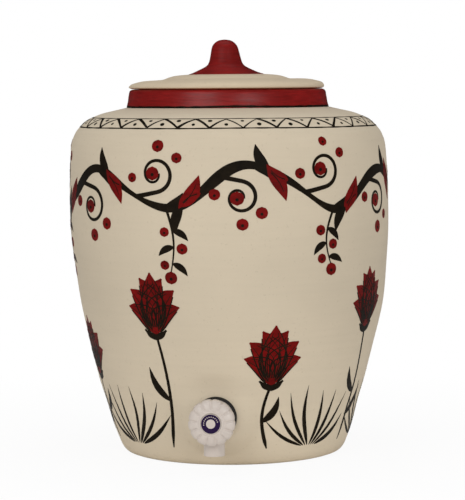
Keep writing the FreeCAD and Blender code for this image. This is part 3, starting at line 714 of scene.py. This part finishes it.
class WATERPOT_OT_lid(bpy.types.Operator):
    """Build the loose clay lid with its brim, step, red cone and grip"""
    bl_idname = "waterpot.lid"
    bl_label = "Clay Lid"

    def execute(self, context):
        lid = settings("lid")
        seat, top = node_box("pot_neck")[1].z, node_box("lid")[1].z
        cone_foot, grip_foot = seat + 0.014, seat + 0.022
        inner_brim, brim_width = 0.05, 0.022

        def place(theta, radius, height):
            brim = smooth_step((radius - inner_brim) / brim_width)
            wave = (0.55 * sin(2 * theta + 2.4) + 0.3 * sin(5 * theta + 0.4) + 0.25 * sin(9 * theta + 1.9))
            radius += brim * 0.6 * lid.wave * sin(3 * theta + 0.9)
            x, y = radius * sin(theta), -radius * cos(theta)
            off = (lid.offset + lid.cone_offset * smooth_step((height - cone_foot + 0.001) / 0.004)
                   + lid.grip_lean * smooth_step((height - grip_foot) / (top - grip_foot)))
            rise = x * (tan(lid.tilt) + brim * tan(lid.brim_tilt)) + brim * lid.wave * wave
            upper = smooth_step((height - seat - 0.0006) / 0.004)
            return Vector((x - off - lean(height), y, height + rise * upper))

        rows = rows_of(smooth_line(LID_UNDERSIDE, 0.0025), place, RAW)
        rows += rows_of(smooth_line(LID_EDGE, 0.0006)[1:-1], place, CREAM)
        rows += rows_of(smooth_line(LID_TOP, 0.0012)[:-1], place, CREAM)
        rows += rows_of(smooth_line(LID_CONE, 0.001), place, RED)
        materials = [finish("lid_paint"), finish("lid_crimson"), finish("raw_clay")]
        made = turned("clay_lid", rows, lid.segments, materials, 60)
        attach(made, "lid")
        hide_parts("lid")
        return {"FINISHED"}


class WATERPOT_OT_shoulder_band(bpy.types.Operator):
    """Paint the zigzag and dots between two lines on the shoulder, and the line at the neck's foot"""
    bl_idname = "waterpot.shoulder_band"
    bl_label = "Shoulder Band"

    def execute(self, context):
        paint = settings("paint")
        brush = Brush(11)
        rng = brush.random
        low, high = (brush.outline.length_at(h) for h in (paint.band_low, paint.band_high))
        neck_foot = brush.outline.length_at(OUTER_WALL[-1][1] * MM) + 0.0011
        for length, width, sway in ((low, 0.0014, 0.00025), (high, 0.0012, 0.0002),
                                    (neck_foot, 0.0019, 0.0003)):
            self.ring(brush, length, width, sway)
        points = 2 * paint.triangles
        zigzag = []
        for k in range(points + 1):
            inset = 0.0003 + rng.uniform(0, 0.0008)
            theta = TURN * k / points + rng.uniform(-0.008, 0.008)
            zigzag.append((theta, high - inset if k % 2 else low + inset))
        zigzag[-1] = (zigzag[0][0] + TURN, zigzag[0][1])
        for a, b in zip(zigzag, zigzag[1:]):
            thick = rng.uniform(0.0013, 0.0029)
            sway = [(a[0] + (b[0] - a[0]) * u, a[1] + (b[1] - a[1]) * u + 0.0006 * sin(pi * u))
                    for u in (0, 0.25, 0.5, 0.75, 1)]
            brush.stroke(sway, tapered(1.1 * thick, 0.7 * thick))
        for k in range(points):
            drop = -0.0026 if k % 2 else 0.0028
            place = (TURN * k / points + rng.uniform(-0.003, 0.003),
                     (low + high) / 2 + drop + rng.uniform(-0.0005, 0.0005))
            brush.dot(place, rng.uniform(0.0014, 0.0021))
        brush.build("shoulder_band", finish("charcoal_brush"))
        return {"FINISHED"}

    def ring(self, brush, length, width, sway):
        """A line that sways and swells round the pot."""
        line = [(TURN * k / 240, length + sway * (sin(3 * TURN * k / 240 + 1)
                                                  + 0.6 * sin(7 * TURN * k / 240))) for k in range(241)]
        brush.stroke(line, lambda u: width * (1 + 0.22 * sin(41 * u * TURN) * sin(5 * u * TURN)), 0.002)


class WATERPOT_OT_vine(bpy.types.Operator):
    """Paint the scrolling vine with its curls, leaves, berries and hanging sprays round the belly"""
    bl_idname = "waterpot.vine"
    bl_label = "Vine Scroll"

    def execute(self, context):
        paint = settings("paint")
        dark, red, detail = Brush(21), Brush(22, 1.6), Brush(23, 2.6)
        rng = dark.random
        middle = dark.outline.length_at(paint.vine_height)
        turns = paint.scrolls

        def vine(theta):
            return middle + paint.vine_swing * (sin(turns * theta) + 0.16 * sin(3 * theta + 1.0)
                                                + 0.09 * sin(13 * theta))

        line = [(TURN * k / 480, vine(TURN * k / 480)) for k in range(481)]
        dark.stroke(line, lambda u: paint.vine_width * (1 + 0.3 * sin(turns * TURN * u + 1.2)
                                                        + 0.14 * sin(17 * TURN * u)), 0.002)
        half_wave = TURN / turns / 2
        for k in range(2 * turns):
            side = 1 if k % 2 else -1
            root = k * half_wave + 0.12 * half_wave
            self.curl(dark, red, detail, (root, vine(root)), side, rng)
            self.leaves(dark, red, detail, root + 0.55 * half_wave, vine, side, rng)
            if side > 0:
                low_point = (k + 0.5) * half_wave
                self.spray(dark, red, detail, (low_point, vine(low_point)), rng)
        dark.build("vine_stems_and_leaves", finish("charcoal_brush"))
        red.build("vine_berries_and_red_leaves", finish("crimson_brush"))
        detail.build("vine_leaf_veins", finish("charcoal_brush"))
        return {"FINISHED"}

    def berry(self, red, detail, centre, radius):
        """A red dab with a dark eye."""
        red.dot(centre, 1.15 * radius)
        detail.dot((centre[0], centre[1] - 0.2 * radius), 0.28 * radius)

    def curl(self, dark, red, detail, root, side, rng):
        """A tendril that winds in on itself, with a berry at its heart and three round it."""
        size = rng.uniform(0.9, 1.08)
        turns, outer, inner, rise, halo = 1.25, 0.0165, 0.006, 0.0205, 0.0245
        spiral = [(0.0, 0.0), (0.006, side * 0.001)]
        for k in range(41):
            u = k / 40
            radius = outer + (inner - outer) * u ** 0.8
            angle = -pi / 2 + TURN * turns * u
            spiral.append((0.021 + radius * cos(angle) - 0.004 * u, side * (rise + radius * sin(angle))))
        dark.stroke(dark.local(root, spiral, 0.0, size), tapered(0.0042, 0.002), 0.0014)
        self.berry(red, detail, dark.point(root, 0.0165, side * rise, size), 0.0054)
        for around in (0.6, 1.5, 3.3):
            place = dark.point(root, 0.0195 + halo * cos(around), side * (rise + halo * sin(around)), size)
            self.berry(red, detail, place, rng.uniform(0.0038, 0.0052))

    def leaf(self, brush, detail, root, angle, length, width, bend):
        """A bent leaf, with a dark vein on the red ones."""
        shape = bent(length, bend)
        brush.blade(root, shape, angle, width, 0.42, 0.0014)
        if detail:
            detail.stroke(detail.local(root, shape[1:-2], angle), tapered(0.001, 0.0005))

    def leaves(self, dark, red, detail, theta, vine, side, rng):
        """Two red leaves and two dark ones that part from the vine."""
        flip = 0 if side > 0 else pi
        for brush, along, slant, length, width in (
                (red, 0.0, -0.62, 0.032, 0.0125), (dark, 0.012, 2.75, 0.026, 0.0095),
                (red, 0.125, 2.3, 0.024, 0.0105), (dark, -0.1, -0.95, 0.022, 0.008)):
            root = (theta + along, vine(theta + along))
            angle = side * slant + flip + rng.uniform(-0.15, 0.15)
            self.leaf(brush, detail if brush is red else None, root, angle, length, width, 0.003 * side)

    def spray(self, dark, red, detail, root, rng):
        """A hanging twig with small leaves and berries by turns."""
        length, sway = rng.uniform(0.046, 0.066), rng.uniform(-0.008, 0.008)
        twig = [(sway * sin(pi * k / 12) + 0.3 * sway * k / 12, -length * k / 12) for k in range(13)]
        dark.stroke(dark.local(root, twig), tapered(0.0026, 0.0011))
        for k, share in enumerate((0.34, 0.58, 0.8)):
            at = dark.point(root, *twig[round(12 * share)])
            way = 1 if k % 2 else -1
            self.leaf(dark, None, at, way * rng.uniform(1.9, 2.3), 0.017, 0.0062, 0.002 * way)
            self.berry(red, detail, dark.point(at, way * 0.0075, -0.0015), rng.uniform(0.0036, 0.0044))
        self.berry(red, detail, dark.point(root, twig[-1][0], twig[-1][1] - 0.003), 0.005)


class WATERPOT_OT_flowers(bpy.types.Operator):
    """Paint the large ribbed buds on upright stems, with blades of leaf at the foot"""
    bl_idname = "waterpot.flowers"
    bl_label = "Buds and Blades"

    def execute(self, context):
        buds = settings("paint").buds
        dark, red, ribs = Brush(31), Brush(32, 1.4), Brush(33, 2.4)
        rng = dark.random
        foot, short, tall = (dark.outline.length_at(height) for height in (0.016, 0.076, 0.122))
        clear_of_tap = 0.45
        for k in range(buds):
            theta = TURN * (k + 0.5) / buds
            base = (theta, tall if k % 2 else short)
            self.stem(dark, theta, foot, base, 1 if k % 2 else -1, rng)
            self.bud(dark, red, ribs, base, rng.uniform(-0.05, 0.05))
            between = theta + TURN * 0.5 / buds
            if clear_of_tap < between < TURN - clear_of_tap:
                self.blades(dark, between, foot, rng)
        dark.build("flower_stems_and_blades", finish("charcoal_brush"))
        red.build("flower_buds", finish("crimson_brush"))
        ribs.build("flower_bud_lines", finish("charcoal_brush"))
        return {"FINISHED"}

    def stem(self, dark, theta, foot, base, side, rng):
        """A swaying stem with two leaves, but none that would reach the tap."""
        length, sway = base[1] - foot, side * 0.006
        shape = [(sway * sin(pi * k / 12), length * k / 12) for k in range(13)]
        dark.stroke(dark.local((theta, foot), shape), lambda u: (0.0036 - 0.0012 * u) * min(1.0, 0.3 + 6 * u))
        for share, way in ((0.22, side), (0.42, -side)):
            if way * sin(theta) < 0 and cos(theta) > cos(0.5):
                continue
            start = dark.point((theta, foot), sway * sin(pi * share), length * share)
            leaf = bent(0.028 + 0.01 * rng.random(), 0.004 * way)
            dark.blade(start, leaf, -way * rng.uniform(0.5, 0.7), 0.0072, 0.4)

    def bud(self, dark, red, ribs, base, slant):
        """Overlapping petals that close to a point, each lined, in a dark cup."""
        for angle, length, width in PETALS:
            shape = bent(length, -0.007 * copysign(1, angle) if angle else 0.0)
            red.blade(base, shape, slant - angle, width, 0.45)
            self.petal_lines(ribs, base, shape, slant - angle, width)
        cup = [(-0.011, 0.004), (-0.006, -0.001), (0.0, -0.0025), (0.006, -0.001), (0.011, 0.004)]
        dark.stroke(dark.local(base, cup, slant), dab(0.007, 0.5, 0.3))

    def petal_lines(self, ribs, base, shape, angle, width):
        outline = dab(0.94 * width, 0.45)
        for share, thick in ((-0.5, 0.0013), (-0.24, 0.0008), (0.24, 0.0008), (0.5, 0.0013)):
            line = [(x + share * outline(k / (len(shape) - 1)), y) for k, (x, y) in enumerate(shape)]
            ribs.stroke(ribs.local(base, line[1:-1], angle), tapered(1.15 * thick, 0.65 * thick))

    def blades(self, dark, theta, foot, rng):
        """A tuft of slim leaf blades that fan out from the foot."""
        for slant in (-0.95, -0.68, -0.42, -0.16, 0.1, 0.36, 0.62, 0.9):
            length = 0.026 + 0.026 * cos(slant) + rng.uniform(0, 0.012)
            shape = bent(length, 0.004 * copysign(1, slant))
            start = dark.point((theta, foot), 0.008 * slant, 0.0)
            dark.blade(start, shape, -slant, rng.uniform(0.003, 0.0048), 0.38)


class WATERPOT_OT_washer(bpy.types.Operator):
    """Build the black rubber washer, which bulges where the lock nut squeezes it on to the clay"""
    bl_idname = "waterpot.washer"
    bl_label = "Rubber Washer"

    def execute(self, context):
        tap = settings("tap")
        low, high = node_box("outer_gasket")
        thick, outer = high.y - low.y, (high.x - low.x) / 2
        line = [(tap.washer_bore, 0.0), (tap.washer_bore, thick)]
        line += [(outer + tap.washer_bulge * sin(pi * k / 8), thick * (1 - k / 8)) for k in range(9)]
        rows = rows_of(line, to_front((low + high) / 2, high.y))
        made = hoop("rubber_washer", rows, 96, finish("tap_rubber"))
        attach(made, "pot")
        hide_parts("outer_gasket")
        return {"FINISHED"}


class WATERPOT_OT_knob(bpy.types.Operator):
    """Build the white knob with its petals, collar and hollow back"""
    bl_idname = "waterpot.knob"
    bl_label = "Petal Knob"

    def execute(self, context):
        tap = settings("tap")
        low, high = node_box("knob")
        place = to_front((low + high) / 2, high.y + 0.00025)
        faces_per_petal, groove_width = 26, 0.00105

        def petal(theta, radius, height):
            share = (theta * tap.petals / TURN) % 1.0
            edge = min(share, 1 - share) * TURN / tap.petals * radius
            groove = exp(-(edge / groove_width) ** 2)
            crown = sin(pi * share) ** 0.8
            front = smooth_step((radius - 0.0112) / 0.003) * smooth_step((height - 0.0005) / 0.002)
            on_face = smooth_step((height - 0.0095) / 0.003)
            depth = tap.groove * front * (groove - 0.3 * crown)
            return place(theta, radius - depth * (1 - 0.75 * on_face), height - depth * on_face)

        rows = rows_of(smooth_line(KNOB_SIDE, 0.0005)[:-1], petal)
        rows += rows_of(smooth_line(KNOB_COLLAR, 0.0005), place)
        rows += rows_of([(radius * MM, height * MM) for radius, height in KNOB_BACK], place)
        made = hoop("petal_knob", rows, tap.petals * faces_per_petal, finish("tap_plastic"))
        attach(made, "knob")
        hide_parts("knob")
        return {"FINISHED"}


class WATERPOT_OT_tap_finishes(bpy.types.Operator):
    """Give the tap's plastic, rubber and steel pieces their finishes"""
    bl_idname = "waterpot.tap_finishes"
    bl_label = "Tap Finishes"

    def execute(self, context):
        finishes = {
            "tap_plastic": ("tap_body", "bonnet", "lock_nut", "index_cap"),
            "inner_plastic": ("spindle", "valve_jumper"),
            "tap_rubber": ("inner_gasket", "bonnet_seal", "spindle_ring", "valve_washer"),
            "blue_print": ("index_label",),
            "plated_steel": ("knob_screw",),
        }
        for name, nodes in finishes.items():
            for node in nodes:
                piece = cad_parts[node]
                piece.data.materials.clear()
                piece.data.materials.append(finish(name))
        self.label_dots()
        return {"FINISHED"}

    def label_dots(self):
        """Small white dots printed along the upper part of the ring label."""
        low, high = node_box("index_label")
        middle = (low + high) / 2
        radius = (high.x - low.x) * 0.37
        work = bmesh.new()
        for k in range(11):
            angle = radians(-98 + 17 * k)
            place = Vector((middle.x + radius * sin(angle), low.y, middle.z + radius * cos(angle)))
            bmesh.ops.create_cone(
                work, cap_ends=True, segments=12, radius1=0.00052, radius2=0.00048, depth=0.0001,
                matrix=Matrix.Translation(place) @ Matrix.Rotation(pi / 2, 4, "X"))
        mesh = bpy.data.meshes.new("label_dots")
        work.to_mesh(mesh)
        work.free()
        mesh.materials.append(finish("tap_plastic"))
        made = added("label_dots", mesh)
        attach(made, "knob")


class WATERPOT_OT_stage(bpy.types.Operator):
    """Set up the pale floor, the soft lamps, the white surroundings and the camera"""
    bl_idname = "waterpot.stage"
    bl_label = "Stage"

    def execute(self, context):
        self.floor()
        self.surroundings()
        for name, place, size, watts in LAMPS:
            self.lamp(name, place, size, watts)
        self.camera()
        context.scene.view_settings.view_transform = "Standard"
        return {"FINISHED"}

    def mix_to_white(self, tree, share, soft, kind, output):
        """Shows the camera plain white by a share of a shader that lights the rest."""
        white = linked(tree, kind, Color=(1, 1, 1, 1), Strength=1.0).outputs[0]
        mix = linked(tree, "ShaderNodeMixShader", Fac=share)
        tree.links.new(soft, mix.inputs[1])
        tree.links.new(white, mix.inputs[2])
        tree.links.new(mix.outputs["Shader"], tree.nodes[output].inputs["Surface"])

    def floor(self):
        """A pale floor that keeps the shadow and fades to plain white further off."""
        bpy.ops.mesh.primitive_plane_add(size=12.0, location=(0, 0, 0))
        floor = bpy.context.object
        floor.name = "floor"
        material, tree, bsdf = blank("pale_floor")
        gloss(bsdf, 0.9)
        bsdf.inputs["Base Color"].default_value = (0.95, 0.94, 0.93, 1)
        away = linked(tree, "ShaderNodeVectorMath")
        away.operation = "LENGTH"
        tree.links.new(own_place(tree), away.inputs[0])
        share = tree.nodes.new("ShaderNodeMath")
        share.operation = "MULTIPLY"
        tree.links.new(tree.nodes.new("ShaderNodeLightPath").outputs["Is Camera Ray"], share.inputs[0])
        tree.links.new(map_range(tree, away.outputs["Value"], 0.16, 0.55, 0.92, 1.0), share.inputs[1])
        self.mix_to_white(tree, share.outputs["Value"], bsdf.outputs["BSDF"], "ShaderNodeEmission",
                          "Material Output")
        floor.data.materials.append(material)

    def surroundings(self):
        """Soft light from all sides, dark in reflections and white to the camera."""
        world = bpy.data.worlds.new("white_surroundings")
        bpy.context.scene.world = world
        world.use_nodes = True
        tree = world.node_tree
        rays = tree.nodes.new("ShaderNodeLightPath").outputs
        soft = tree.nodes["Background"]
        soft.inputs["Color"].default_value = (1, 1, 1, 1)
        tree.links.new(map_range(tree, rays["Is Glossy Ray"], 0.0, 1.0, 0.56, 0.03), soft.inputs["Strength"])
        self.mix_to_white(tree, rays["Is Camera Ray"], soft.outputs["Background"], "ShaderNodeBackground",
                          "World Output")

    def lamp(self, name, place, size, watts):
        data = bpy.data.lights.new(name, "AREA")
        data.shape = "DISK"
        data.size = size
        data.energy = watts
        made = added(name, data)
        made.location = place
        aim = Vector((0, 0, 0.18))
        made.rotation_euler = (aim - made.location).to_track_quat("-Z", "Y").to_euler()

    def camera(self):
        stage = settings("stage")
        data = bpy.data.cameras.new("camera")
        data.lens = stage.lens
        data.sensor_width = 36.0
        made = added("camera", data)
        made.location = (stage.distance * sin(stage.azimuth), -stage.distance * cos(stage.azimuth),
                         stage.height)
        turn = (Matrix.Rotation(stage.azimuth - stage.pan, 4, "Z")
                @ Matrix.Rotation(pi / 2 - stage.tilt, 4, "X") @ Matrix.Rotation(stage.roll, 4, "Z"))
        made.rotation_euler = turn.to_euler()
        bpy.context.scene.camera = made


class WATERPOT_PT_sidebar(bpy.types.Panel):
    """Lists the pieces of the water pot and their settings"""
    bl_idname = "WATERPOT_PT_sidebar"
    bl_label = "Water Pot"
    bl_space_type = "VIEW_3D"
    bl_region_type = "UI"
    bl_category = "Water Pot"

    def draw(self, context):
        for operator in OPERATORS:
            self.layout.operator(operator.bl_idname)
        for name, group in GROUPS.items():
            box = self.layout.box()
            for key in group.__annotations__:
                box.prop(settings(name), key)


GROUPS = {"pot": PotSettings, "lid": LidSettings, "paint": PaintSettings, "tap": TapSettings,
          "stage": StageSettings}
OPERATORS = (WATERPOT_OT_body, WATERPOT_OT_lid, WATERPOT_OT_shoulder_band, WATERPOT_OT_vine,
             WATERPOT_OT_flowers, WATERPOT_OT_washer, WATERPOT_OT_knob,
             WATERPOT_OT_tap_finishes, WATERPOT_OT_stage)
CLASSES = (*GROUPS.values(), *OPERATORS, WATERPOT_PT_sidebar)


def register():
    for kind in CLASSES:
        bpy.utils.register_class(kind)
    for name, group in GROUPS.items():
        setattr(bpy.types.Scene, name + "_settings", PointerProperty(type=group))


def unregister():
    for name in GROUPS:
        delattr(bpy.types.Scene, name + "_settings")
    for kind in reversed(CLASSES):
        bpy.utils.unregister_class(kind)


def main():
    register()
    for operator in OPERATORS:
        group, name = operator.bl_idname.split(".")
        getattr(getattr(bpy.ops, group), name)()


if __name__ == "__main__":
    main()
